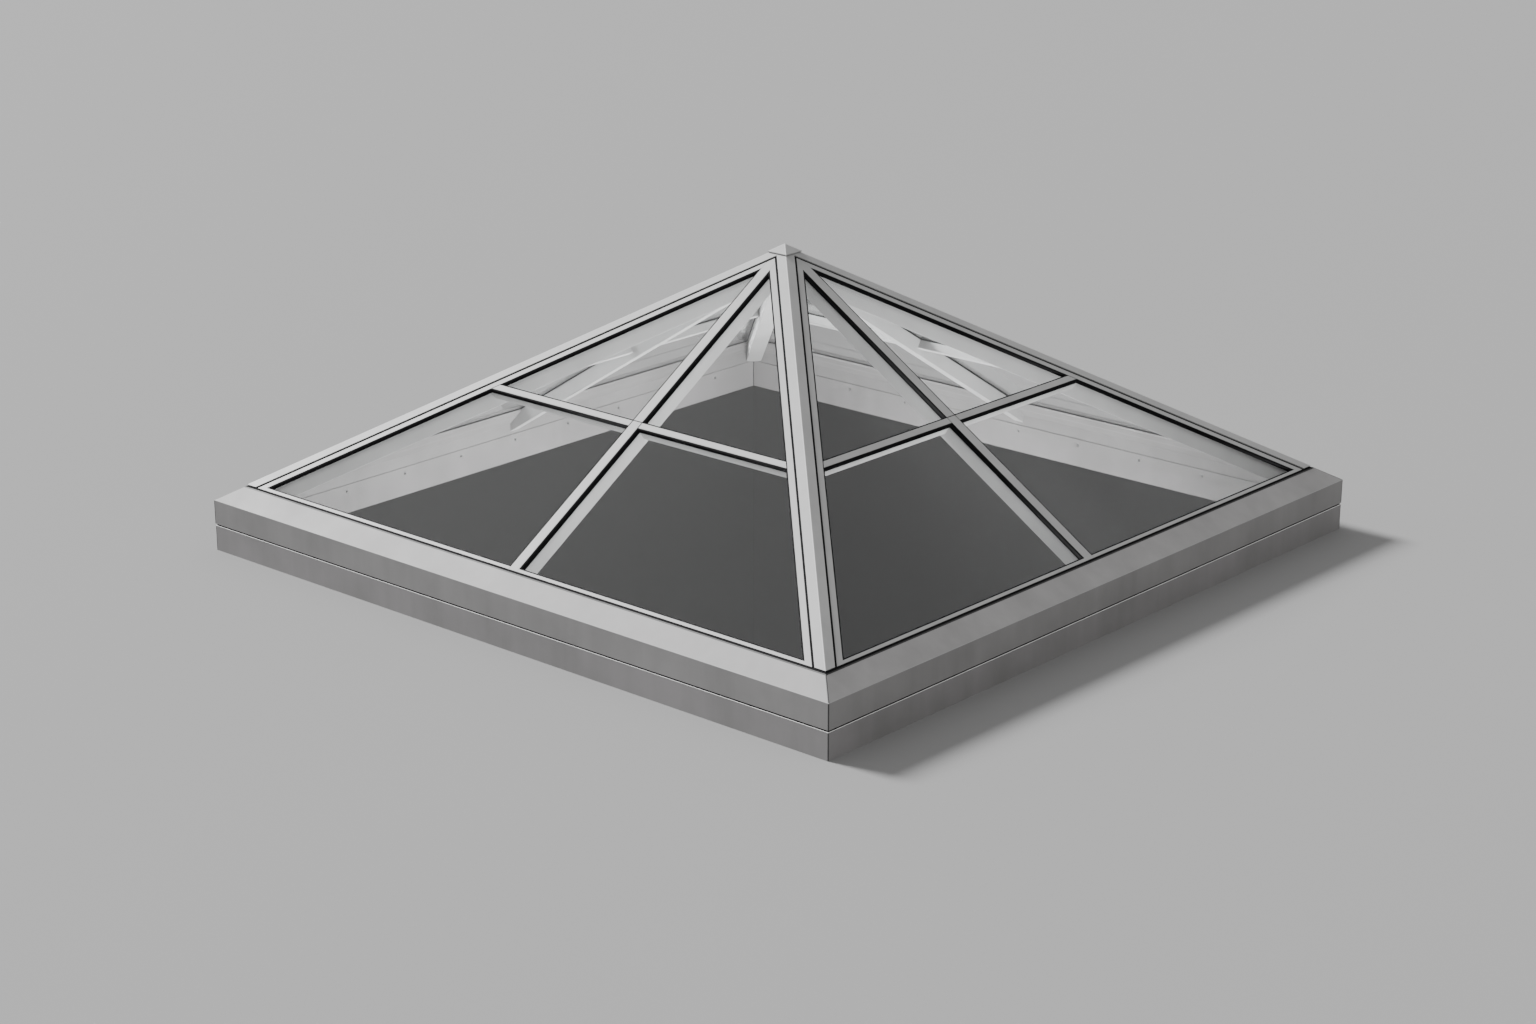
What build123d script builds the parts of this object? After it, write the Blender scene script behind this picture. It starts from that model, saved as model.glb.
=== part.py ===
from build123d import *
import os
from math import asin, cos, hypot, radians, sin, sqrt, tan

os.makedirs("parts", exist_ok=True)

# A square pyramid rooflight. The origin is at the middle of its base, on the surface it stands on, and +Z is up.
# Every piece is made on the front (the -Y side) or on the front right hip, and turned about Z for the other sides.

# Whole object, in millimetres and degrees
side = 3000
pitch = 32

# Curb: the lower band of the frame
curb_height = 100
curb_width = 47
curb_inset = 1
curb_edge_chamfer = 3
profile_wall = 3

# Seam between curb and sill
seam_thickness = 4
seam_setback = 10
seam_width = 30

# Sill: the upper band with its sloped top and its glazing rebate
sill_face_height = 92
sill_top_width = 98
sill_edge_radius = 2.5
rebate_width = 16
nose_height = 8
soffit_height = 160
sill_web_height = 150
fin_thickness = 3
fin_overlap = 22
fin_rise = 10

# Layers of the glazed faces, from the cap tops inwards
cap_thickness = 3
plate_thickness = 5
outer_gasket_thickness = 6
glass_thickness = 10
inner_gasket_thickness = 3

# Bearing bars below the glass
rafter_width = 46
rafter_depth = 56
purlin_width = 27
purlin_depth = 33
hip_bar_width = 64
hip_bar_depth = 80
bar_wall = 2.5
bar_edge_radius = 2
rib_width = 11
purlin_rib_wall = 1.8
rib_drop = 1.5

# Purlin row, measured up the slope from the outer top edge of the sill to its middle line
purlin_station = 829

# Gaps between the edges of neighbouring panes
rafter_glass_gap = 16
purlin_glass_gap = 12
hip_glass_reach = 20
pane_tip_width = 6
lip_tip_width = 1

# Caps and seals
rafter_cap_width = 41
purlin_cap_width = 25
plate_setback = 1
cap_joint_gap = 4
gasket_lip = 4.5
gasket_lip_drop = 0.8
hip_flange_reach = 65
hip_groove_reach = 43
hip_cap_reach = 34
hip_cap_raise = 2.5
hip_recess_depth = 4
hip_flat_width = 16
hip_cap_wall = 3
groove_strip_drop = 1.8
eaves_seal_width = 9
eaves_seal_drop = 2
eaves_strip_width = 12
setting_gap = 6
setting_block_length = 80
setting_block_shares = (0.25, 0.75)

# Channel in a pressure plate, with the legs of the cover cap at its walls
rafter_channel_width = 22
purlin_channel_width = 12
channel_depth = 2.5
cap_leg_width = 1.5
cap_edge_chamfer = 0.8

# Apex
hub_width = 150
hub_drop = 8
hub_chamfer = 6
apex_cap_width = 88
apex_cap_wall = 3
apex_cap_gap = 3
stem_diameter = 12
stem_length = 90

# Fixings
screw_slot_width = 5.4
purlin_screw_slot_width = 4.4
stem_clearance = 0.2
fixing_hole_diameter = 9
fixing_access_diameter = 22
fixing_spacing = 900
fixing_end_distance = 150
cleat_leg = 75
cleat_clearance = 0.5

# Worked out from the sizes above
half = side / 2
rise = tan(radians(pitch))
slope_cos = cos(radians(pitch))
slope_sin = sin(radians(pitch))
slope_length = half / slope_cos
sill_base = curb_height + seam_thickness
eaves_height = sill_base + sill_face_height
apex_height = eaves_height + half * rise
frame_width = curb_inset + curb_width
plate_bottom = cap_thickness + plate_thickness
glass_top = plate_bottom + outer_gasket_thickness
glass_bottom = glass_top + glass_thickness
bar_top = glass_bottom + inner_gasket_thickness
rib_top = plate_bottom + rib_drop
strip_foot = sill_top_width + eaves_seal_width
strip_head = strip_foot + eaves_strip_width
glass_foot = sill_top_width + setting_gap
rebate_head = sill_top_width + rebate_width
joint_station = purlin_station + purlin_cap_width / 2
hip_length = hypot(half * sqrt(2), half * rise)
hip_cos = half * sqrt(2) / hip_length
hip_line_sin = slope_length / hypot(half, slope_length)
fold = asin(slope_sin / sqrt(2))
fold_tan = tan(fold)
purlin_rib_width = purlin_screw_slot_width + 2 * purlin_rib_wall
fixing_count = int((side - 2 * fixing_end_distance) // fixing_spacing) + 1
fixing_positions = [fixing_spacing * (index - (fixing_count - 1) / 2) for index in range(fixing_count)]
overrun = 200

TURNS = {"front": 0, "right": 90, "back": 180, "left": 270}
HIP_TURNS = {"front_right": 0, "back_right": 90, "back_left": 180, "front_left": 270}

# Frames of reference of the front side and of the front right hip
front_face = Plane(origin=(0, -half, eaves_height), x_dir=(1, 0, 0), z_dir=(0, -slope_sin, slope_cos))
frame_section = Plane(origin=(0, -half, 0), x_dir=(0, 1, 0), z_dir=(1, 0, 0))
slope_section = Plane(origin=front_face.origin, x_dir=(0, slope_cos, slope_sin), z_dir=(1, 0, 0))
rafter_section = Plane(origin=front_face.origin, x_dir=(1, 0, 0), z_dir=(0, -slope_cos, -slope_sin))
hip_section = Plane(origin=(0, 0, apex_height), x_dir=(1, 1, 0), z_dir=(1, -1, -rise))


def save(part, name, turn=0):
    """Write one node, turned about the upright axis of the pyramid."""
    piece = part.rotate(Axis.Z, turn)
    piece.label = name
    export_step(piece, f"parts/{name}.step")


def save_all_round(part, name):
    """Write the same piece for the four sides."""
    for side_name, turn in TURNS.items():
        save(part, f"{name}_{side_name}", turn)


def save_all_hips(part, name):
    """Write the same piece for the four hips."""
    for hip_name, turn in HIP_TURNS.items():
        save(part, f"{name}_{hip_name}", turn)


def section_point(station, depth):
    """Inset and height of a point of the slope, given up the slope and below the cap tops."""
    return (station * slope_cos + depth * slope_sin, eaves_height + station * slope_sin - depth * slope_cos)


def hip_point(reach, depth):
    """Point of the hip's section, given along the right-hand face from the hip line and below the cap tops."""
    return (reach * cos(fold) - depth * sin(fold), -reach * sin(fold) - depth * cos(fold))


def hip_edge(station, reach):
    """Distance across the front face to a line that runs beside the hip line at this reach."""
    return half * (1 - station / slope_length) - reach / hip_line_sin


def hip_station(across, reach):
    """Distance up the slope at which that line comes this near to the middle of the face."""
    return slope_length * (1 - (across + reach / hip_line_sin) / half)


def pane_outline(across, reach, foot, head):
    """Right-hand half of a row of the front face, between the mid rafter, the hip and two level lines."""
    return [(across, foot), (hip_edge(foot, reach), foot), (hip_edge(head, reach), head), (across, head)]


def rafter_outline(width, foot):
    """Length of a cap along the mid rafter, from a level line up to the point between two hip grooves."""
    shoulder = hip_station(width / 2, hip_groove_reach)
    tip = hip_station(0, hip_groove_reach)
    return [(-width / 2, foot), (width / 2, foot), (width / 2, shoulder), (0, tip), (-width / 2, shoulder)]


def mirrored(points):
    """The same outline on the other side of the middle line."""
    return [(-x, y) for x, y in reversed(points)]


def both_sides(points):
    """Closed outline from its right-hand half, listed from the top down to the bottom."""
    return points + [point for point in mirrored(points) if point[0] != 0]


def slab(outline, top, bottom, mode=Mode.ADD):
    """Flat plate of the front face between two depths below the cap tops."""
    with BuildSketch(front_face.offset(-top)) as plate:
        Polygon(*outline, align=None)
    extrude(plate.sketch, amount=top - bottom, mode=mode)


def mitre():
    """Cut a front piece along the two vertical diagonals of the square."""
    split(bisect_by=Plane(origin=(0, 0, 0), z_dir=(1, 1, 0)), keep=Keep.BOTTOM)
    split(bisect_by=Plane(origin=(0, 0, 0), z_dir=(-1, 1, 0)), keep=Keep.BOTTOM)


def turned(plane, turn):
    """The same plane on another side of the pyramid."""
    return Plane(Location((0, 0, 0), (0, 0, turn)) * plane.location)


def below_faces(depth):
    """Keep what lies below the four faces at this depth."""
    for turn in TURNS.values():
        split(bisect_by=turned(front_face.offset(-depth), turn), keep=Keep.BOTTOM)


def keep_in_corner(station):
    """Keep what lies in the front right quarter, above a level line of the front and the right face."""
    split(bisect_by=Plane.YZ, keep=Keep.TOP)
    split(bisect_by=Plane.XZ, keep=Keep.TOP)
    foot = Plane(origin=(0, -half + section_point(station, 0)[0], section_point(station, 0)[1]),
                 z_dir=(0, slope_cos, slope_sin))
    split(bisect_by=foot, keep=Keep.TOP)
    split(bisect_by=turned(foot, 90), keep=Keep.TOP)


def clear_stem():
    """Clear the middle of the pyramid for the stem of the apex cap."""
    with Locations((0, 0, apex_height)):
        Cylinder(stem_diameter / 2 + stem_clearance, 4 * overrun, mode=Mode.SUBTRACT)


def box_profile(plane, width, depth, wall):
    """Hollow bar section that hangs from the glazing seat, with eased edges."""
    with BuildSketch(plane) as profile:
        with Locations((0, -bar_top)):
            Rectangle(width, depth, align=(Align.CENTER, Align.MAX))
            fillet(profile.vertices(), bar_edge_radius)
        with Locations((0, -bar_top - wall)):
            Rectangle(width - 2 * wall, depth - 2 * wall, align=(Align.CENTER, Align.MAX), mode=Mode.SUBTRACT)
    return profile.sketch


def rib_profile(plane, width, slot):
    """Section of the screw rib on top of a bearing bar."""
    with BuildSketch(plane) as profile:
        with Locations((0, -rib_top)):
            Rectangle(width, bar_top - rib_top, align=(Align.CENTER, Align.MAX))
            Rectangle(slot, bar_top - rib_top - bar_wall, align=(Align.CENTER, Align.MAX), mode=Mode.SUBTRACT)
    return profile.sketch


def cap_profile(plane, width, channel):
    """Section of a cover cap: a flat top with eased edges on two short legs."""
    with BuildSketch(plane) as profile:
        Rectangle(width, cap_thickness, align=(Align.CENTER, Align.MAX))
        chamfer(profile.vertices().group_by(Axis.Y)[-1], cap_edge_chamfer)
        leg_middle = (channel - cap_leg_width) / 2
        with Locations((-leg_middle, -cap_thickness), (leg_middle, -cap_thickness)):
            Rectangle(cap_leg_width, channel_depth, align=(Align.CENTER, Align.MAX))
    return profile.sketch


def plate_profile(plane, width, channel):
    """Section of a pressure plate with its channel for screw heads."""
    with BuildSketch(plane) as profile:
        with Locations((0, -cap_thickness)):
            Rectangle(width, plate_thickness, align=(Align.CENTER, Align.MAX))
            Rectangle(channel, channel_depth, align=(Align.CENTER, Align.MAX), mode=Mode.SUBTRACT)
    return profile.sketch


# Curb length: a hollow box profile with fixing holes through its floor and access holes above them
with BuildPart() as curb:
    with BuildSketch(frame_section):
        with Locations((curb_inset, 0)):
            Rectangle(curb_width, curb_height, align=(Align.MIN, Align.MIN))
        with Locations((curb_inset + profile_wall, profile_wall)):
            Rectangle(curb_width - 2 * profile_wall, curb_height - 2 * profile_wall,
                      align=(Align.MIN, Align.MIN), mode=Mode.SUBTRACT)
    extrude(amount=half, both=True)
    top_edges = curb.edges().filter_by(Axis.X).group_by(Axis.Z)[-1]
    chamfer(top_edges.sort_by(Axis.Y)[0], curb_edge_chamfer)
    mitre()
    fixing_row = curb_inset + curb_width / 2 - half
    with Locations(*[(x, fixing_row, profile_wall / 2) for x in fixing_positions]):
        Cylinder(fixing_hole_diameter / 2, 2 * profile_wall, mode=Mode.SUBTRACT)
    with Locations(*[(x, fixing_row, curb_height) for x in fixing_positions]):
        Cylinder(fixing_access_diameter / 2, 3 * profile_wall, mode=Mode.SUBTRACT)
save_all_round(curb.part, "curb")

# Sealing tape that lies in the seam, set back behind the outer face
with BuildPart() as seam_tape:
    with BuildSketch(Plane.XY.offset(curb_height)):
        outer_width = side - 2 * (curb_inset + seam_setback)
        Rectangle(outer_width, outer_width)
        Rectangle(outer_width - 2 * seam_width, outer_width - 2 * seam_width, mode=Mode.SUBTRACT)
    extrude(amount=seam_thickness)
save(seam_tape.part, "seam_tape")

# Sill length: outer face, sloped top, rebate for the glass, soffit, and a fin that laps over the curb inside
nose = section_point(rebate_head, bar_top)
sill_outline = [
    (0, sill_base),
    (0, eaves_height),
    section_point(sill_top_width, 0),
    section_point(sill_top_width, bar_top),
    nose,
    (nose[0], nose[1] - nose_height),
    (frame_width, soffit_height),
    (frame_width, sill_base),
]
with BuildPart() as sill:
    with BuildSketch(frame_section) as sill_profile:
        Polygon(*sill_outline, align=None)
        offset(amount=-profile_wall, kind=Kind.INTERSECTION, mode=Mode.SUBTRACT)
        with Locations((profile_wall / 2, sill_web_height)):
            Rectangle(frame_width - profile_wall, profile_wall, align=(Align.MIN, Align.MIN))
        fillet(sill_profile.vertices().sort_by_distance((0, eaves_height))[0], sill_edge_radius)
        with Locations((frame_width, sill_base + fin_rise)):
            Rectangle(fin_thickness, fin_rise + seam_thickness + fin_overlap, align=(Align.MIN, Align.MAX))
    extrude(amount=half, both=True)
    mitre()
save_all_round(sill.part, "sill")

# Filled outline of the sill ring, to which the feet of the bars are scribed
with BuildPart() as sill_core:
    with BuildSketch(frame_section):
        Polygon(*sill_outline, align=None)
    extrude(amount=half, both=True)
    mitre()
with BuildPart() as sill_ring:
    with PolarLocations(0, 4):
        add(sill_core.part)

# Corner cleats inside the chambers of the curb and of the sill
with BuildPart() as front_cleats:
    for inset, base, height in (
        (curb_inset, 0, curb_height),
        (0, sill_base, sill_web_height + profile_wall - sill_base),
    ):
        outer = half - inset - profile_wall - cleat_clearance
        inner = half - frame_width + profile_wall + cleat_clearance
        with BuildSketch(Plane.XY.offset(base + profile_wall + cleat_clearance)) as cleat_plan:
            Polygon((outer, -outer), (outer, cleat_leg - outer), (inner, cleat_leg - outer), (inner, -inner),
                    (outer - cleat_leg, -inner), (outer - cleat_leg, -outer), align=None)
        extrude(cleat_plan.sketch, amount=height - 2 * profile_wall - 2 * cleat_clearance)
with BuildPart() as corner_cleats:
    with PolarLocations(0, 4):
        add(front_cleats.part)
save(corner_cleats.part, "corner_cleats")

# Mid rafter: hollow bar with a screw rib, scribed to the sill and cut off at the hub
with BuildPart() as mid_rafter:
    extrude(box_profile(rafter_section, rafter_width, rafter_depth, bar_wall), amount=-slope_length)
    split(bisect_by=Plane(origin=(0, frame_width - half, 0), z_dir=(0, 1, 0)), keep=Keep.TOP)
    add(sill_ring.part, mode=Mode.SUBTRACT)
    rib_foot = rafter_section.offset(-strip_foot)
    extrude(rib_profile(rib_foot, rib_width, screw_slot_width), amount=strip_foot - slope_length)
    split(bisect_by=Plane(origin=(0, -hub_width / 2, 0), z_dir=(0, 1, 0)), keep=Keep.BOTTOM)
save_all_round(mid_rafter.part, "mid_rafter")

# Purlins: a hollow bar on each side of the mid rafter, cut along the side of the hip rafter
hip_side = Plane(origin=(-hip_bar_width / sqrt(8), -hip_bar_width / sqrt(8), 0), z_dir=(1, 1, 0))
purlin_start = Plane(slope_section.from_local_coords((purlin_station, 0, rafter_width / 2)),
                     x_dir=slope_section.x_dir, z_dir=slope_section.z_dir)
with BuildPart() as purlins:
    extrude(box_profile(purlin_start, purlin_width, purlin_depth, bar_wall), amount=half)
    extrude(rib_profile(purlin_start, purlin_rib_width, purlin_screw_slot_width), amount=half)
    split(bisect_by=hip_side, keep=Keep.BOTTOM)
    mirror(about=Plane.YZ)
save_all_round(purlins.part, "purlins")

# Hip rafter: hollow bar with a roof-shaped top and a screw rib
hip_ridge = -bar_top / cos(fold)
hip_rib_top = -hip_flat_width / 2 * fold_tan - plate_bottom / cos(fold) - rib_drop
with BuildPart() as hip_rib:
    with BuildSketch(hip_section) as hip_rib_profile:
        with Locations((0, hip_rib_top)):
            Rectangle(rib_width, hip_rib_top - hip_ridge + rib_width / 2, align=(Align.CENTER, Align.MAX))
            Rectangle(screw_slot_width, hip_rib_top - hip_ridge, align=(Align.CENTER, Align.MAX), mode=Mode.SUBTRACT)
    extrude(amount=hip_length)
    keep_in_corner(strip_foot)
with BuildPart() as hip_rafter:
    with BuildSketch(hip_section) as hip_profile:
        Polygon(*both_sides([
            (0, hip_ridge),
            (hip_bar_width / 2, hip_ridge - hip_bar_width / 2 * fold_tan),
            (hip_bar_width / 2, hip_ridge - hip_bar_depth),
        ]), align=None)
        offset(amount=-bar_wall, kind=Kind.INTERSECTION, mode=Mode.SUBTRACT)
        low_corners = hip_profile.vertices().group_by(Axis.Y)[0]
        fillet(low_corners, bar_edge_radius)
    extrude(amount=hip_length)
    add(hip_rib.part)
    split(bisect_by=Plane(origin=(0, frame_width - half, 0), z_dir=(0, 1, 0)), keep=Keep.TOP)
    split(bisect_by=Plane(origin=(half - frame_width, 0, 0), z_dir=(1, 0, 0)), keep=Keep.BOTTOM)
    split(bisect_by=Plane.XY.offset(sill_base + fin_rise), keep=Keep.TOP)
    add(sill_ring.part, mode=Mode.SUBTRACT)
    split(bisect_by=Plane(origin=(hub_width / sqrt(8), -hub_width / sqrt(8), 0), z_dir=(1, -1, 0)), keep=Keep.TOP)
save_all_hips(hip_rafter.part, "hip_rafter")

# Apex hub: an eight-sided block, its top shaped to the four faces
hub_base = (apex_height - hub_width / 2 * rise / sqrt(2)
            - (bar_top / cos(fold) + hip_bar_depth) / hip_cos - hub_drop)
with BuildPart() as apex_hub:
    with BuildSketch(Plane.XY.offset(hub_base)):
        RegularPolygon(hub_width / 2, 8, major_radius=False, rotation=22.5)
    extrude(amount=apex_height - hub_base)
    chamfer(apex_hub.faces().sort_by(Axis.Z)[0].edges(), hub_chamfer)
    below_faces(bar_top)
    clear_stem()
save(apex_hub.part, "apex_hub")

# Panes, four on each face
pane_side = rafter_glass_gap / 2
pane_head = hip_station(pane_side + pane_tip_width, hip_glass_reach)
pane_rows = {
    "lower": (glass_foot, purlin_station - purlin_glass_gap / 2),
    "upper": (purlin_station + purlin_glass_gap / 2, pane_head),
}
for row, (foot, head) in pane_rows.items():
    right_hand = pane_outline(pane_side, hip_glass_reach, foot, head)
    for hand, outline in (("right", right_hand), ("left", mirrored(right_hand))):
        with BuildPart() as pane:
            slab(outline, glass_top, glass_bottom)
        for side_name, turn in TURNS.items():
            save(pane.part, f"glass_{side_name}_{row}_{hand}", turn)

# Inner gaskets: a frame under each pane, on the bars and on the rebate of the sill
hip_bar_reach = (hip_bar_width / 2 + bar_top * sin(fold)) / cos(fold)
inner_sight_lines = {
    "lower": (rebate_head, purlin_station - purlin_width / 2),
    "upper": (purlin_station + purlin_width / 2, hip_station(rafter_width / 2 + pane_tip_width, hip_bar_reach)),
}
with BuildPart() as front_inner_gaskets:
    for foot, head in pane_rows.values():
        slab(pane_outline(pane_side, hip_glass_reach, foot, head), glass_bottom, bar_top)
    for foot, head in inner_sight_lines.values():
        slab(pane_outline(rafter_width / 2, hip_bar_reach, foot, head), glass_bottom, bar_top, mode=Mode.SUBTRACT)
    mirror(about=Plane.YZ)
with BuildPart() as inner_gaskets:
    with PolarLocations(0, 4):
        add(front_inner_gaskets.part)
save(inner_gaskets.part, "inner_gaskets")

# Outer gaskets: a frame on each pane, with a lip that stands up beside the caps and shows as a black edge
cap_edges = {
    "lower": (strip_head, purlin_station - purlin_cap_width / 2),
    "upper": (purlin_station + purlin_cap_width / 2,
              hip_station(rafter_cap_width / 2 + lip_tip_width, hip_flange_reach)),
}
lip_side = rafter_cap_width / 2 + gasket_lip
lip_reach = hip_flange_reach + gasket_lip
with BuildPart() as front_outer_gaskets:
    for foot, head in pane_rows.values():
        slab(pane_outline(pane_side, hip_glass_reach, max(foot, strip_foot), head), plate_bottom, glass_top)
    for foot, head in cap_edges.values():
        slab(pane_outline(rafter_cap_width / 2, hip_flange_reach, foot, head), gasket_lip_drop, plate_bottom)
    for foot, head in cap_edges.values():
        lip_head = min(head - gasket_lip, hip_station(lip_side + pane_tip_width, lip_reach))
        slab(pane_outline(lip_side, lip_reach, foot + gasket_lip, lip_head), gasket_lip_drop, glass_top,
             mode=Mode.SUBTRACT)
    mirror(about=Plane.YZ)
with BuildPart() as outer_gaskets:
    with PolarLocations(0, 4):
        add(front_outer_gaskets.part)
save(outer_gaskets.part, "outer_gaskets")

# Setting blocks that carry the lower panes on the rebate
pane_foot_width = hip_edge(glass_foot, hip_glass_reach) - pane_side
block_middles = [pane_side + pane_foot_width * share for share in setting_block_shares]
with BuildPart() as front_blocks:
    for middle in block_middles:
        block_ends = (middle - setting_block_length / 2, middle + setting_block_length / 2)
        slab([(block_ends[0], sill_top_width), (block_ends[1], sill_top_width),
              (block_ends[1], glass_foot), (block_ends[0], glass_foot)], glass_top, bar_top)
    mirror(about=Plane.YZ)
with BuildPart() as setting_blocks:
    with PolarLocations(0, 4):
        add(front_blocks.part)
save(setting_blocks.part, "setting_blocks")

# Black seal between the sill and everything that lies on the glass
with BuildPart() as front_seal:
    with BuildSketch(slope_section):
        with Locations((sill_top_width, -eaves_seal_drop)):
            Rectangle(eaves_seal_width, glass_top - eaves_seal_drop, align=(Align.MIN, Align.MAX))
    extrude(amount=half, both=True)
    mitre()
with BuildPart() as eaves_seal:
    with PolarLocations(0, 4):
        add(front_seal.part)
save(eaves_seal.part, "eaves_seal")

# Eaves retainers: the thin pale strips between the mid rafters and the hips
with BuildPart() as front_retainers:
    slab(pane_outline(rafter_cap_width / 2, hip_flange_reach, strip_foot, strip_head), 0, plate_bottom)
    mirror(about=Plane.YZ)
with BuildPart() as eaves_retainers:
    with PolarLocations(0, 4):
        add(front_retainers.part)
save(eaves_retainers.part, "eaves_retainers")

# Pressure plates on the mid rafters and the purlins
with BuildPart() as rafter_plate:
    extrude(plate_profile(rafter_section.offset(-strip_foot), rafter_cap_width - 2 * plate_setback,
                          rafter_channel_width), amount=strip_foot - slope_length)
    slab(rafter_outline(rafter_cap_width, strip_foot), 0, glass_top, mode=Mode.INTERSECT)
with BuildPart() as purlin_plate:
    extrude(plate_profile(purlin_start, purlin_cap_width - 2 * plate_setback, purlin_channel_width), amount=half)
    slab(pane_outline(rafter_cap_width / 2, hip_flange_reach + cap_joint_gap, strip_head, pane_head),
         0, glass_top, mode=Mode.INTERSECT)
    mirror(about=Plane.YZ)
with BuildPart() as pressure_plates:
    with PolarLocations(0, 4):
        add(rafter_plate.part)
        add(purlin_plate.part)
save(pressure_plates.part, "pressure_plates")

# Cover caps of the mid rafters: the lower one runs through the crossing, the upper one starts above it
with BuildPart() as lower_cap:
    extrude(cap_profile(rafter_section.offset(-strip_foot), rafter_cap_width, rafter_channel_width),
            amount=strip_foot - joint_station)
with BuildPart() as rafter_caps_lower:
    with PolarLocations(0, 4):
        add(lower_cap.part)
save(rafter_caps_lower.part, "rafter_caps_lower")
upper_cap_foot = joint_station + cap_joint_gap
with BuildPart() as upper_cap:
    extrude(cap_profile(rafter_section.offset(-upper_cap_foot), rafter_cap_width, rafter_channel_width),
            amount=upper_cap_foot - slope_length)
    slab(rafter_outline(rafter_cap_width, upper_cap_foot), 0, plate_bottom, mode=Mode.INTERSECT)
with BuildPart() as rafter_caps_upper:
    with PolarLocations(0, 4):
        add(upper_cap.part)
save(rafter_caps_upper.part, "rafter_caps_upper")

# Cover caps of the purlins, cut along the hip flanges
with BuildPart() as front_purlin_caps:
    extrude(cap_profile(purlin_start, purlin_cap_width, purlin_channel_width), amount=half)
    slab(pane_outline(rafter_cap_width / 2 + cap_joint_gap, hip_flange_reach + cap_joint_gap,
                      strip_head, pane_head), 0, plate_bottom, mode=Mode.INTERSECT)
    mirror(about=Plane.YZ)
with BuildPart() as purlin_caps:
    with PolarLocations(0, 4):
        add(front_purlin_caps.part)
save(purlin_caps.part, "purlin_caps")

# Hip retainer: folded plate with a flange on each face and a recess for the hip cap
flat_half = hip_flat_width / 2
flat_top = -flat_half * fold_tan - hip_recess_depth / cos(fold)
with BuildPart() as rafter_corridor:
    slab(rafter_outline(rafter_cap_width, strip_foot), -hip_cap_raise, glass_top)
with BuildPart() as hip_retainer:
    with BuildSketch(hip_section.offset(-overrun)):
        Polygon(*both_sides([
            (flat_half, flat_top),
            hip_point(hip_groove_reach, hip_recess_depth),
            hip_point(hip_groove_reach, 0),
            hip_point(hip_flange_reach, 0),
            hip_point(hip_flange_reach, plate_bottom),
            (flat_half, -flat_half * fold_tan - plate_bottom / cos(fold)),
        ]), align=None)
    extrude(amount=overrun + hip_length)
    keep_in_corner(strip_foot)
    with PolarLocations(0, 4):
        add(rafter_corridor.part, mode=Mode.SUBTRACT)
    clear_stem()
save_all_hips(hip_retainer.part, "hip_retainer")

# Hip cap: folded cover, hollow inside
with BuildPart() as hip_cap:
    with BuildSketch(hip_section.offset(-overrun)):
        Polygon(*both_sides([
            (0, hip_cap_raise / cos(fold)),
            hip_point(hip_cap_reach, -hip_cap_raise),
            hip_point(hip_cap_reach, hip_recess_depth),
            hip_point(hip_cap_reach - hip_cap_wall, hip_recess_depth),
            hip_point(hip_cap_reach - hip_cap_wall, hip_cap_wall - hip_cap_raise),
            (0, (hip_cap_raise - hip_cap_wall) / cos(fold)),
        ]), align=None)
    extrude(amount=overrun + hip_length)
    keep_in_corner(strip_foot)
    clear_stem()
save_all_hips(hip_cap.part, "hip_cap")

# Black strips in the grooves beside the hip cap
with BuildPart() as corner_strips:
    with BuildSketch(hip_section.offset(-overrun)):
        strip_outline = [
            hip_point(hip_cap_reach, groove_strip_drop),
            hip_point(hip_groove_reach, groove_strip_drop),
            hip_point(hip_groove_reach, hip_recess_depth),
            hip_point(hip_cap_reach, hip_recess_depth),
        ]
        Polygon(*strip_outline, align=None)
        Polygon(*mirrored(strip_outline), align=None)
    extrude(amount=overrun + hip_length)
    keep_in_corner(strip_foot)
with BuildPart() as groove_strips:
    with PolarLocations(0, 4):
        add(corner_strips.part)
save(groove_strips.part, "groove_strips")

# Apex cap: hollow square pyramid on a stem that plugs into the hub
apex_cap_raise = hip_cap_raise + apex_cap_gap + apex_cap_wall
apex_rim = apex_height - apex_cap_width * rise
with BuildPart() as apex_void:
    with BuildSketch(Plane.XY.offset(apex_rim - overrun)):
        Rectangle(2 * apex_cap_width, 2 * apex_cap_width)
    extrude(amount=2 * overrun)
    below_faces(apex_cap_wall - apex_cap_raise)
with BuildPart() as apex_cap:
    with BuildSketch(Plane.XY.offset(apex_rim)):
        Rectangle(apex_cap_width, apex_cap_width)
    extrude(amount=overrun)
    below_faces(-apex_cap_raise)
    add(apex_void.part, mode=Mode.SUBTRACT)
    with BuildSketch(Plane.XY.offset(apex_height)) as stem_plan:
        Circle(stem_diameter / 2)
    extrude(stem_plan.sketch, amount=apex_cap_raise - apex_cap_wall / 2)
    extrude(stem_plan.sketch, amount=-stem_length)
save(apex_cap.part, "apex_cap")
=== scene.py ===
import math

import bpy
import numpy as np
from mathutils import Matrix, Vector


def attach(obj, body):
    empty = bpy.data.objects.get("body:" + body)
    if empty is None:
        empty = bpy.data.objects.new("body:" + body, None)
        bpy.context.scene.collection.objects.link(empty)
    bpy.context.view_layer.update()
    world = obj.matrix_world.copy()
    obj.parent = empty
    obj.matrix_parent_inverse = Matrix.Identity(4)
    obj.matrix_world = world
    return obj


# A pyramid rooflight: powder-coated aluminium frame, bars and caps, black rubber gaskets and clear glass.
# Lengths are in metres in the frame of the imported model: origin at the middle of the base, +Z up.

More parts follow.
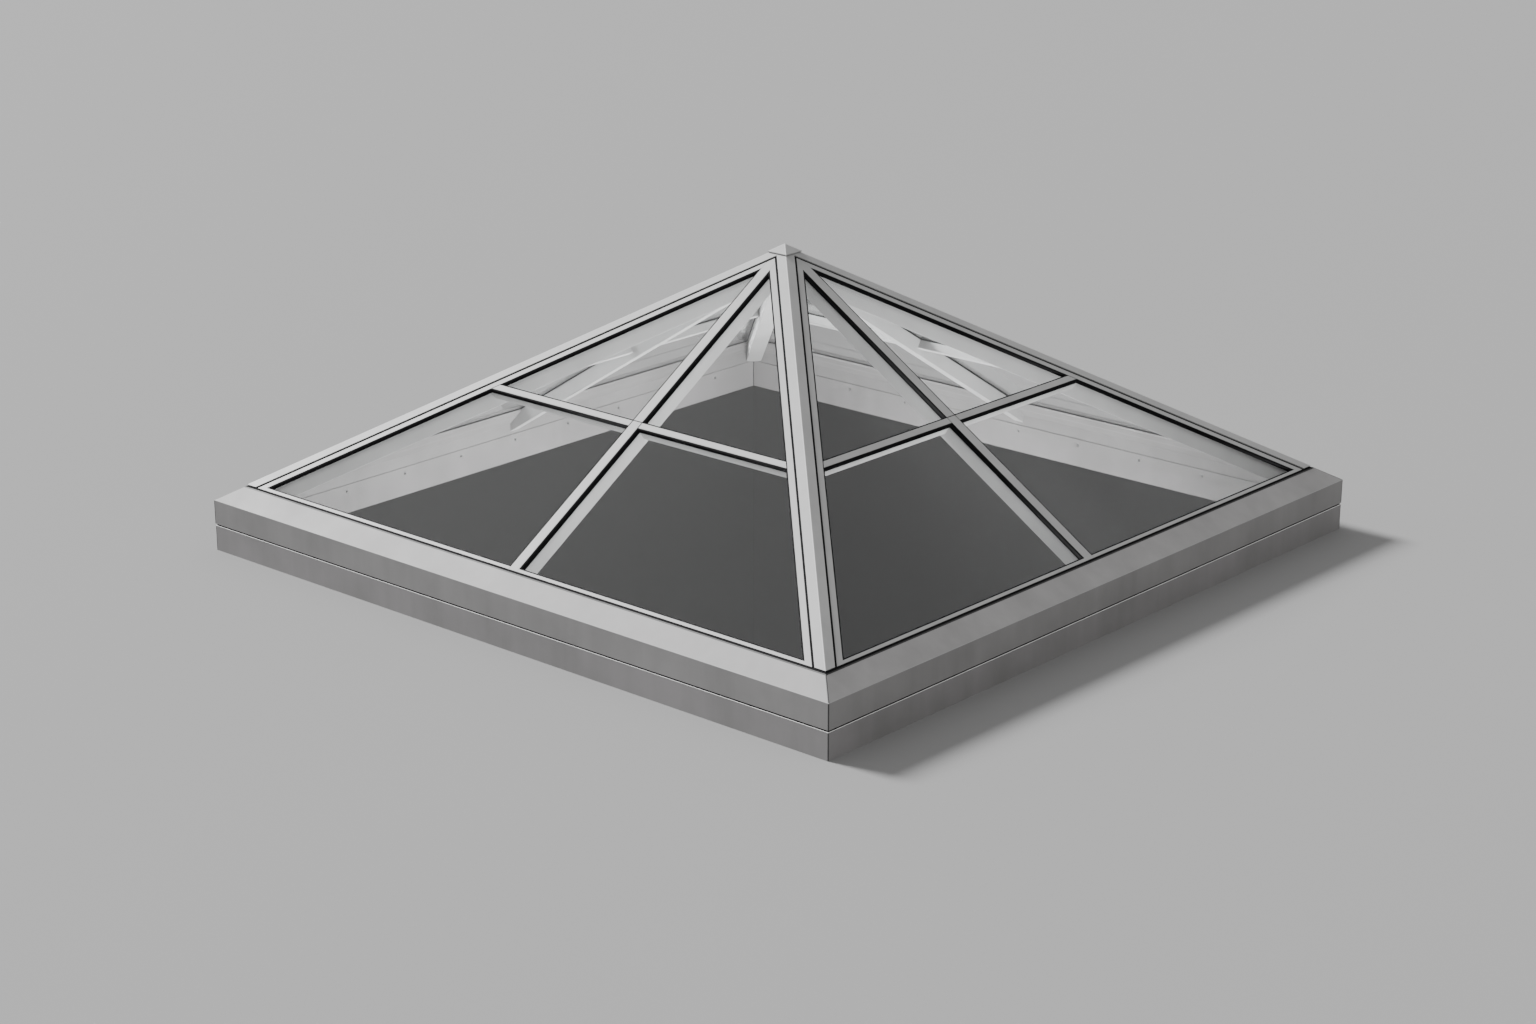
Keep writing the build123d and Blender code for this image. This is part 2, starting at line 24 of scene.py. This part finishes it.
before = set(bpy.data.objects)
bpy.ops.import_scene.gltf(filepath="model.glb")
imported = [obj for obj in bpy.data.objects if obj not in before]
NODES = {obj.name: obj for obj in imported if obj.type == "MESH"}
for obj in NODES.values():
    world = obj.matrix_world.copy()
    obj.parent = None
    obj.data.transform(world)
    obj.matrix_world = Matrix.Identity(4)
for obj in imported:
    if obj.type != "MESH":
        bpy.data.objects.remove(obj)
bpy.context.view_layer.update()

# Photograph: viewing direction, framing and lens
CAMERA_AZIMUTH = math.radians(41.5567)
CAMERA_ELEVATION = math.radians(18.6737)
CAMERA_ROLL = math.radians(0.0451)
CAMERA_SHIFT_RIGHT = -0.0609
CAMERA_SHIFT_UP = 0.102
CAMERA_DISTANCE = 11.6394
LENS_MM = 72.32
SENSOR_MM = 36.0
CLIP_START = 0.1
CLIP_END = 200.0

# Stage: floor with a square opening, and the well below it
FLOOR_HALF = 60.0
WELL_HALF = 1.452
WELL_DEPTH = 1.6

# Sun and a broad soft fill from the side
SUN_DISTANCE = 10.0
KEY_DIRECTION = Vector((-0.796, -0.129, 0.591))
KEY_STRENGTH = 10.0
KEY_ANGLE = math.radians(14)
FILL_DIRECTION = Vector((0.93, -0.2, 0.3))
FILL_STRENGTH = 0.7
FILL_ANGLE = math.radians(80)
FILL_COLOUR = (1.0, 0.99, 0.95)

# Sky: strength at the horizon, strength from a height of the unit dome up, and the share left at the back
SKY_LOW = 0.25
SKY_HIGH = 0.95
SKY_HIGH_FROM = 0.7
SKY_BACK = 0.7
SKY_BACK_START = 0.1
SKY_BACK_END = 0.7

# Lamps in the well that light the inside of the frame and the bars
ROOM_FILL_POWER = 38.0
ROOM_FILL_SIZE = 2.4
ROOM_FILL_PLACE = (0, 0, -0.6)
ROOM_FILL_AIM = (0, 0, 1)
ROOM_SIDE_POWER = 160.0
ROOM_SIDE_SIZE = 0.9
ROOM_SIDE_PLACE = (0.7, -0.1, -0.8)
ROOM_SIDE_AIM = (-1.45, 0.2, 0.35)

# Powder coat: sizes of the clouds, rain streaks and orange peel in mm, how far the streaks are drawn out
# and their share in the drift of tone, strength and depth of the peel, and how far the roughness drifts
CLOUD_MM = 240.0
RUN_MM = 55.0
RUN_STRETCH = 0.06
RUN_SHARE = 0.3
PEEL_MM = 1.6
PEEL_STRENGTH = 0.2
PEEL_DEPTH = 0.0004
COAT_DRIFT = 0.05
COAT_IOR = 1.5

# Black surfaces, bare metal and glass
DUST_MM = 90.0
GRAIN_STRENGTH = 0.2
GRAIN_DEPTH = 0.0003
BLACK_SPECULAR = 0.08
METAL_DRIFT = 0.08
WAVE_MM = 600.0
WAVE_STRENGTH = 0.02
WAVE_DEPTH = 0.0005
GLASS_IOR = 1.45

# Thin lines of another tone on the coated profiles: half the width of the corner lines, and height and
# half width of each level line. The level lines are painted: painted highlights on two arrises, and
# painted shade in the seam under the sill and beside the eaves seal.
CORNER_LINE_HALF = 0.0032
# Painted highlight: a pale line along the curb's top arris, just under the seam
SEAM_PAINTED_HIGHLIGHT = (0.0971, 0.0008)
# Painted shade: a near-black band on the curb's top in the seam under the sill
SEAM_PAINTED_SHADE = (0.0993, 0.0014)
# Painted highlight: a pale line along the outer top arris of the sill
EAVES_PAINTED_HIGHLIGHT = (0.1955, 0.0013)
# Painted shade: a black band on the sill's top edge beside the eaves seal
EAVES_PAINTED_SHADE = (0.2468, 0.0018)

# Glazed faces: half of the side, height of the eaves, pitch, edges of the caps across the slope, from the
# hip and up the slope, and the least width of a gasket loop at its head
HALF = 1.5
EAVES_HEIGHT = 0.196
PITCH = math.radians(32)
CAP_HALF_WIDTH = 0.0205
FLANGE_REACH = 0.065
ROW_EDGES = ((0.119, 0.8165), (0.8415, 2.0))
TIP_WIDTH = 0.006

# Rounded foot of the outer gaskets: where it starts beside the caps, how far it spreads, and its depths
FOOT_START = 0.0043
FOOT_SPREAD = 0.004
FOOT_TOP = 0.0016
FOOT_BASE = 0.0139

# Screws that hold the fin of the sill to the curb inside
FIN_FACE = 1.449
SCREW_HEIGHT = 0.089
SCREW_SPACING = 0.3
SCREWS_PER_SIDE = 9
HEAD_RADIUS = 0.0048
HEAD_HEIGHT = 0.0026


def linear(hex_colour):
    """Linear RGBA from an sRGB hex colour."""
    values = [int(hex_colour[i:i + 2], 16) / 255 for i in (1, 3, 5)]
    return [v / 12.92 if v <= 0.04045 else ((v + 0.055) / 1.055) ** 2.4 for v in values] + [1.0]


def add_node(tree, kind, settings=None, **sockets):
    """Add a node to a tree, give it its settings, and set or link its input sockets. A name such as i2
    stands for the socket with that number."""
    node = tree.nodes.new(kind)
    for name, value in (settings or {}).items():
        setattr(node, name, value)
    for name, value in sockets.items():
        key = int(name[1:]) if name[0] == "i" and name[1:].isdigit() else name.replace("_", " ")
        socket = node.inputs[key]
        if isinstance(value, bpy.types.NodeSocket):
            tree.links.new(value, socket)
        else:
            socket.default_value = value
    return node


def new_material(name):
    """Empty node material with its output node."""
    material = bpy.data.materials.new(name)
    material.use_nodes = True
    tree = material.node_tree
    tree.nodes.clear()
    return material, tree, add_node(tree, "ShaderNodeOutputMaterial")


def object_place(tree):
    """Coordinates in the frame of the object."""
    return add_node(tree, "ShaderNodeTexCoord").outputs["Object"]


def noise(tree, place, size_mm, detail, roughness=0.5):
    """Cloudy pattern from 0 to 1 with cells of about the given size."""
    return add_node(tree, "ShaderNodeTexNoise", Vector=place, Scale=1000 / size_mm, Detail=detail,
                    Roughness=roughness).outputs["Fac"]


def bump(tree, height, strength, depth):
    """Surface direction that follows a pattern of heights."""
    return add_node(tree, "ShaderNodeBump", Strength=strength, Distance=depth, Height=height).outputs["Normal"]


def ramp(tree, factor, stops):
    """Colour ramp through (position, colour) stops."""
    node = add_node(tree, "ShaderNodeValToRGB", i0=factor)
    elements = node.color_ramp.elements
    while len(elements) < len(stops):
        elements.new(1.0)
    for element, (position, colour) in zip(elements, stops):
        element.position = position
        element.color = colour
    return node.outputs["Color"]


def thin_line(tree, colour, first, second, half_width, line_colour):
    """Colour with a thin line of another colour where two values are nearly the same."""
    mask = add_node(tree, "ShaderNodeMath", {"operation": "COMPARE"}, i0=first, i1=second, i2=half_width)
    return add_node(tree, "ShaderNodeMix", {"data_type": "RGBA"}, i0=mask.outputs["Value"], i6=colour,
                    i7=linear(line_colour)).outputs[2]


def distance_from_middle(tree, coordinate):
    """Distance from the plane in which a coordinate is zero."""
    return add_node(tree, "ShaderNodeMath", {"operation": "ABSOLUTE"}, i0=coordinate).outputs["Value"]


def principled(tree, output, **sockets):
    """Surface shader with its sockets, linked to the output."""
    shader = add_node(tree, "ShaderNodeBsdfPrincipled", **sockets)
    tree.links.new(shader.outputs["BSDF"], output.inputs["Surface"])


def powder_coat(name, light, dark, roughness, corner_joint_and_highlight=None, painted_level_lines=()):
    """Matt polyester powder coat, sprayed and baked: an even grey with a faint orange-peel grain, soft
    drifts of tone and faint streaks where rain has run down. A corner line runs where two sides of the
    pyramid meet: a dark mitre joint on the sill and curb, and a painted highlight along the hip ridges on
    the caps. The level lines at given heights are painted highlights and painted shade."""
    material, tree, output = new_material(name)
    place = object_place(tree)
    clouds = noise(tree, place, CLOUD_MM, 4.0, 0.55)
    runs = add_node(tree, "ShaderNodeMapping", Vector=place, Scale=(1.0, 1.0, RUN_STRETCH)).outputs["Vector"]
    streaks = noise(tree, runs, RUN_MM, 3.0)
    drift = add_node(tree, "ShaderNodeMix", Factor=RUN_SHARE, A=clouds, B=streaks).outputs["Result"]
    colour = ramp(tree, drift, [(0.35, linear(dark)), (0.65, linear(light))])
    gloss = add_node(tree, "ShaderNodeMapRange", Value=clouds, From_Min=0.3, From_Max=0.7,
                     To_Min=roughness - COAT_DRIFT, To_Max=roughness + COAT_DRIFT)
    axes = add_node(tree, "ShaderNodeSeparateXYZ", Vector=place).outputs
    # Corner line where |x| and |y| are equal: a dark mitre joint on the sill and curb, and a painted highlight
    # along the hip ridges on the caps
    if corner_joint_and_highlight:
        across = distance_from_middle(tree, axes["X"])
        along = distance_from_middle(tree, axes["Y"])
        colour = thin_line(tree, colour, across, along, CORNER_LINE_HALF, corner_joint_and_highlight)
    # Level lines: painted highlights and painted shade at given heights
    for (height, half_width), line_colour in painted_level_lines:
        colour = thin_line(tree, colour, axes["Z"], height, half_width, line_colour)
    peel = noise(tree, place, PEEL_MM, 2.0)
    principled(tree, output, Base_Color=colour, Roughness=gloss.outputs["Result"], IOR=COAT_IOR,
               Normal=bump(tree, peel, PEEL_STRENGTH, PEEL_DEPTH))
    return material


def dull_black(name, light, dark, roughness=0.8, grain_mm=3.0):
    """Dull black surface, such as extruded rubber, foam tape, moulded nylon or anodised metal:
    fine-grained, and a little greyer where dust lies on it."""
    material, tree, output = new_material(name)
    place = object_place(tree)
    dust = noise(tree, place, DUST_MM, 5.0, 0.6)
    colour = ramp(tree, dust, [(0.35, linear(dark)), (0.75, linear(light))])
    grain = noise(tree, place, grain_mm, 2.0)
    principled(tree, output, Base_Color=colour, Roughness=roughness, Specular_IOR_Level=BLACK_SPECULAR,
               Normal=bump(tree, grain, GRAIN_STRENGTH, GRAIN_DEPTH))
    return material


def metal(name, light, dark, roughness, grain_mm):
    """Bare metal: a grey reflection, clouded by drawing, rolling or plating."""
    material, tree, output = new_material(name)
    place = object_place(tree)
    clouds = noise(tree, place, grain_mm, 3.0)
    colour = ramp(tree, clouds, [(0.3, linear(dark)), (0.7, linear(light))])
    gloss = add_node(tree, "ShaderNodeMapRange", Value=clouds, To_Min=roughness - METAL_DRIFT,
                     To_Max=roughness + METAL_DRIFT)
    principled(tree, output, Base_Color=colour, Metallic=1.0, Roughness=gloss.outputs["Result"])
    return material


def float_glass(name, tint):
    """Laminated float glass: clear with a slight grey tint, smooth, with a faint wave. Lamps shine
    through it."""
    material, tree, output = new_material(name)
    place = object_place(tree)
    wave = noise(tree, place, WAVE_MM, 1.0)
    shader = add_node(tree, "ShaderNodeBsdfPrincipled", Base_Color=linear(tint), Roughness=0.0, IOR=GLASS_IOR,
                      Transmission_Weight=1.0, Normal=bump(tree, wave, WAVE_STRENGTH, WAVE_DEPTH))
    clear = add_node(tree, "ShaderNodeBsdfTransparent", Color=linear(tint))
    path = add_node(tree, "ShaderNodeLightPath")
    mix = add_node(tree, "ShaderNodeMixShader", Fac=path.outputs["Is Shadow Ray"], i1=shader.outputs["BSDF"],
                   i2=clear.outputs["BSDF"])
    tree.links.new(mix.outputs["Shader"], output.inputs["Surface"])
    return material


def plain(name, colour, roughness):
    """One even colour, for the stage only."""
    material, tree, output = new_material(name)
    principled(tree, output, Base_Color=linear(colour), Roughness=roughness)
    return material


# The caps' light corner line is a painted highlight along the hip ridges
COAT_CAPS = powder_coat("powder_coated_caps", "#8e8e8e", "#838383", 0.52, "#a2a2a2")
# The sill's dark corner line is its mitre joint; its level lines are a painted highlight on the eaves arris
# and painted shade beside the eaves seal
COAT_SILL = powder_coat("powder_coated_sill", "#7e7d7d", "#727171", 0.6, "#262626",
                        ((EAVES_PAINTED_HIGHLIGHT, "#8e8e8e"), (EAVES_PAINTED_SHADE, "#080808")))
# The curb's dark corner line is its corner joint; its level lines are painted shade in the seam under the sill
# and a painted highlight on the arris below it
COAT_CURB = powder_coat("powder_coated_curb", "#7d7b7c", "#717070", 0.6, "#343434",
                        ((SEAM_PAINTED_SHADE, "#060606"), (SEAM_PAINTED_HIGHLIGHT, "#e2e2e2")))
COAT_BARS = powder_coat("powder_coated_bars", "#a9a9a9", "#9d9d9d", 0.5)
EPDM = dull_black("epdm_rubber", "#121213", "#0a0a0b")
TAPE = dull_black("foam_sealing_tape", "#0e0e0f", "#080809", 0.9, 1.2)
GLASS = float_glass("laminated_glass", "#f6f7f7")
ANODISED = dull_black("black_anodised_aluminium", "#202021", "#181819", 0.45, 6.0)
MILL = metal("mill_aluminium", "#b9babb", "#a8a9aa", 0.42, 14.0)
STEEL = metal("zinc_plated_steel", "#b2b3b4", "#9a9b9c", 0.35, 3.0)
NYLON = dull_black("black_nylon_blocks", "#262627", "#1c1c1d", 0.5, 2.0)

FINISHES = (
    ("curb_", COAT_CURB), ("sill_", COAT_SILL), ("hip_retainer", COAT_CAPS), ("hip_cap", COAT_CAPS),
    ("rafter_caps", COAT_CAPS), ("purlin_caps", COAT_CAPS), ("eaves_retainers", COAT_CAPS),
    ("apex_cap", COAT_CAPS), ("hip_rafter", COAT_BARS), ("mid_rafter", COAT_BARS), ("purlins_", COAT_BARS),
    ("apex_hub", COAT_BARS), ("glass_", GLASS), ("inner_gaskets", EPDM), ("outer_gaskets", EPDM),
    ("eaves_seal", EPDM), ("groove_strips", EPDM), ("seam_tape", TAPE), ("pressure_plates", ANODISED),
    ("corner_cleats", MILL), ("setting_blocks", NYLON),
)
for node_name, node in NODES.items():
    finish = next(material for prefix, material in FINISHES if node_name.startswith(prefix))
    node.data.materials.clear()
    node.data.materials.append(finish)


def mesh_object(name, points, faces, material):
    """Mesh object with its place in its vertices."""
    mesh = bpy.data.meshes.new(name)
    mesh.from_pydata([tuple(point) for point in points], [], [tuple(face) for face in faces])
    mesh.validate()
    mesh.materials.append(material)
    made = bpy.data.objects.new(name, mesh)
    bpy.context.scene.collection.objects.link(made)
    return made


def ring_quads(around, steps):
    """Faces of a closed ring of points that are numbered step by step at each place around it."""
    grid = np.arange(around * steps).reshape(around, steps)
    after = np.roll(grid, -1, axis=0)
    return np.stack([grid[:, :-1], after[:, :-1], after[:, 1:], grid[:, 1:]], axis=-1).reshape(-1, 4)


def screw_heads(name, places, inwards, material, turns=20, rings=7):
    """Pan heads on upright faces. With angle a and share t from rim to crown, a point lies
    R cos(90 t)^0.5 from the axis, turned by a, and H sin(90 t) along the axis."""
    turned = np.arange(turns) * 2 * np.pi / turns
    angle, share = np.meshgrid(turned, np.linspace(0, 1, rings), indexing="ij")
    radius = HEAD_RADIUS * np.sqrt(np.clip(np.cos(share * np.pi / 2), 0, 1))
    reach = HEAD_HEIGHT * np.sin(share * np.pi / 2)
    quads = ring_quads(turns, rings)[:, ::-1]
    points, faces = [], []
    for index, (place, inward) in enumerate(zip(places, inwards)):
        across = np.cross(inward, (0, 0, 1))
        offsets = (np.multiply.outer(radius * np.cos(angle), across)
                   + np.multiply.outer(radius * np.sin(angle), (0, 0, 1))
                   + np.multiply.outer(reach, inward))
        points.append(np.asarray(place) + offsets.reshape(-1, 3))
        faces.append(quads + index * turns * rings)
    made = mesh_object(name, np.vstack(points), np.vstack(faces), material)
    made.data.shade_smooth()
    return made


def gasket_feet(name, material, steps=9):
    """Rounded feet of the outer gaskets, one loop inside each opening of the caps. At angle a of the
    curve, a point of the loop lies S + W sin a in from the cap edge and B - (B - T) cos a below the cap
    tops."""
    slope_length = HALF / math.cos(PITCH)
    hip_line_sin = slope_length / math.hypot(HALF, slope_length)
    angle = np.linspace(0, np.pi / 2, steps)
    inset = FOOT_START + FOOT_SPREAD * np.sin(angle)
    depth = FOOT_BASE - (FOOT_BASE - FOOT_TOP) * np.cos(angle)
    side = CAP_HALF_WIDTH + inset
    reach = (FLANGE_REACH + inset) / hip_line_sin
    quads = ring_quads(4, steps)
    points, faces = [], []
    for foot_edge, head_edge in ROW_EDGES:
        foot = foot_edge + inset
        head = np.minimum(head_edge - inset, slope_length * (1 - (side + TIP_WIDTH + reach) / HALF))
        hip_foot = HALF * (1 - foot / slope_length) - reach
        hip_head = HALF * (1 - head / slope_length) - reach
        across = np.stack([side, hip_foot, hip_head, side])
        station = np.stack([foot, foot, head, head])
        inward = -HALF + station * math.cos(PITCH) + depth * math.sin(PITCH)
        height = EAVES_HEIGHT + station * math.sin(PITCH) - depth * math.cos(PITCH)
        for hand in (1, -1):
            loop = np.stack([hand * across, inward, height], axis=-1).reshape(-1, 3)
            for quarter in range(4):
                c, s = math.cos(quarter * math.pi / 2), math.sin(quarter * math.pi / 2)
                faces.append((quads if hand == 1 else quads[:, ::-1]) + len(points) * len(loop))
                points.append(loop @ np.array([(c, s, 0), (-s, c, 0), (0, 0, 1)]))
    made = mesh_object(name, np.vstack(points), np.vstack(faces), material)
    made.data.shade_smooth()
    return made


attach(gasket_feet("outer_gasket_feet", EPDM), "root")

screw_spots, screw_axes = [], []
for quarter in range(4):
    inward = np.round([-math.sin(quarter * math.pi / 2), math.cos(quarter * math.pi / 2), 0.0])
    along = np.cross(inward, (0, 0, 1))
    for step in range(SCREWS_PER_SIDE):
        slide = (step - (SCREWS_PER_SIDE - 1) / 2) * SCREW_SPACING
        screw_spots.append(-FIN_FACE * inward + slide * along + np.array([0, 0, SCREW_HEIGHT]))
        screw_axes.append(inward)
fin_screws = screw_heads("fin_screw_heads", screw_spots, screw_axes, STEEL)
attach(fin_screws, "root")


def square_ring(half, height):
    """Four corners of a level square, counter-clockwise seen from above."""
    return np.array([(x * half, y * half, height) for x, y in ((-1, -1), (1, -1), (1, 1), (-1, 1))])


# Floor with a square opening under the rooflight, and the dark well below it with its walls and bottom
floor_points = np.vstack([square_ring(FLOOR_HALF, 0.0), square_ring(WELL_HALF, 0.0)])
floor_faces = [(i, (i + 1) % 4, 4 + (i + 1) % 4, 4 + i) for i in range(4)]
floor = mesh_object("studio_floor", floor_points, floor_faces, plain("studio_floor_paint", "#787878", 0.9))
well_points = np.vstack([square_ring(WELL_HALF, 0.0), square_ring(WELL_HALF, -WELL_DEPTH)])
well_faces = [((i + 1) % 4, i, 4 + i, 4 + (i + 1) % 4) for i in range(4)] + [(4, 5, 6, 7)]
well = mesh_object("light_well", well_points, well_faces, plain("dark_light_well", "#060606", 0.9))

# Sky dome: dim near the horizon, bright overhead, and duller behind the rooflight
world = bpy.data.worlds.new("studio")
bpy.context.scene.world = world
world.use_nodes = True
sky = world.node_tree
sky.nodes.clear()
sky_place = add_node(sky, "ShaderNodeTexCoord").outputs["Generated"]
sky_axes = add_node(sky, "ShaderNodeSeparateXYZ", Vector=sky_place).outputs
sky_height = add_node(sky, "ShaderNodeMapRange", Value=sky_axes["Z"], From_Min=0.0, From_Max=SKY_HIGH_FROM,
                      To_Min=SKY_LOW, To_Max=SKY_HIGH)
sky_back = add_node(sky, "ShaderNodeMapRange", Value=sky_axes["Y"], From_Min=SKY_BACK_START,
                    From_Max=SKY_BACK_END, To_Min=1.0, To_Max=SKY_BACK)
sky_level = add_node(sky, "ShaderNodeMath", {"operation": "MULTIPLY"}, i0=sky_height.outputs["Result"],
                     i1=sky_back.outputs["Result"])
background = add_node(sky, "ShaderNodeBackground", Color=(1.0, 1.0, 1.0, 1.0),
                      Strength=sky_level.outputs["Value"])
sky_output = add_node(sky, "ShaderNodeOutputWorld")
sky.links.new(background.outputs["Background"], sky_output.inputs["Surface"])


def lamp(name, kind, place, towards, **values):
    """Lamp at a place, aimed at a point."""
    data = bpy.data.lights.new(name, kind)
    for key, value in values.items():
        setattr(data, key, value)
    made = bpy.data.objects.new(name, data)
    made.location = place
    made.rotation_mode = "QUATERNION"
    made.rotation_quaternion = (Vector(towards) - Vector(place)).to_track_quat("-Z", "Y")
    bpy.context.scene.collection.objects.link(made)
    return made


lamp("key_light", "SUN", KEY_DIRECTION * SUN_DISTANCE, (0, 0, 0), energy=KEY_STRENGTH, angle=KEY_ANGLE)
lamp("side_fill", "SUN", FILL_DIRECTION * SUN_DISTANCE, (0, 0, 0), energy=FILL_STRENGTH, angle=FILL_ANGLE,
     color=FILL_COLOUR)
room_lamps = (
    lamp("room_light", "AREA", ROOM_FILL_PLACE, ROOM_FILL_AIM, energy=ROOM_FILL_POWER,
         size=ROOM_FILL_SIZE),
    lamp("room_side_light", "AREA", ROOM_SIDE_PLACE, ROOM_SIDE_AIM, energy=ROOM_SIDE_POWER,
         size=ROOM_SIDE_SIZE),
)
for room in room_lamps:
    room.visible_camera = False
    room.visible_glossy = False
    room.visible_transmission = False

# Camera at the photograph's viewing angle
back = Vector((math.sin(CAMERA_AZIMUTH) * math.cos(CAMERA_ELEVATION),
               -math.cos(CAMERA_AZIMUTH) * math.cos(CAMERA_ELEVATION), math.sin(CAMERA_ELEVATION)))
level_right = Vector((math.cos(CAMERA_AZIMUTH), math.sin(CAMERA_AZIMUTH), 0))
level_up = back.cross(level_right)
right = math.cos(CAMERA_ROLL) * level_right + math.sin(CAMERA_ROLL) * level_up
up = math.cos(CAMERA_ROLL) * level_up - math.sin(CAMERA_ROLL) * level_right
camera_data = bpy.data.cameras.new("camera")
camera_data.lens = LENS_MM
camera_data.sensor_width = SENSOR_MM
camera_data.clip_start, camera_data.clip_end = CLIP_START, CLIP_END
camera = bpy.data.objects.new("camera", camera_data)
turn = Matrix((right, up, back)).transposed().to_4x4()
place = right * CAMERA_SHIFT_RIGHT + up * CAMERA_SHIFT_UP + back * CAMERA_DISTANCE
camera.matrix_world = Matrix.Translation(place) @ turn
bpy.context.scene.collection.objects.link(camera)
bpy.context.scene.camera = camera
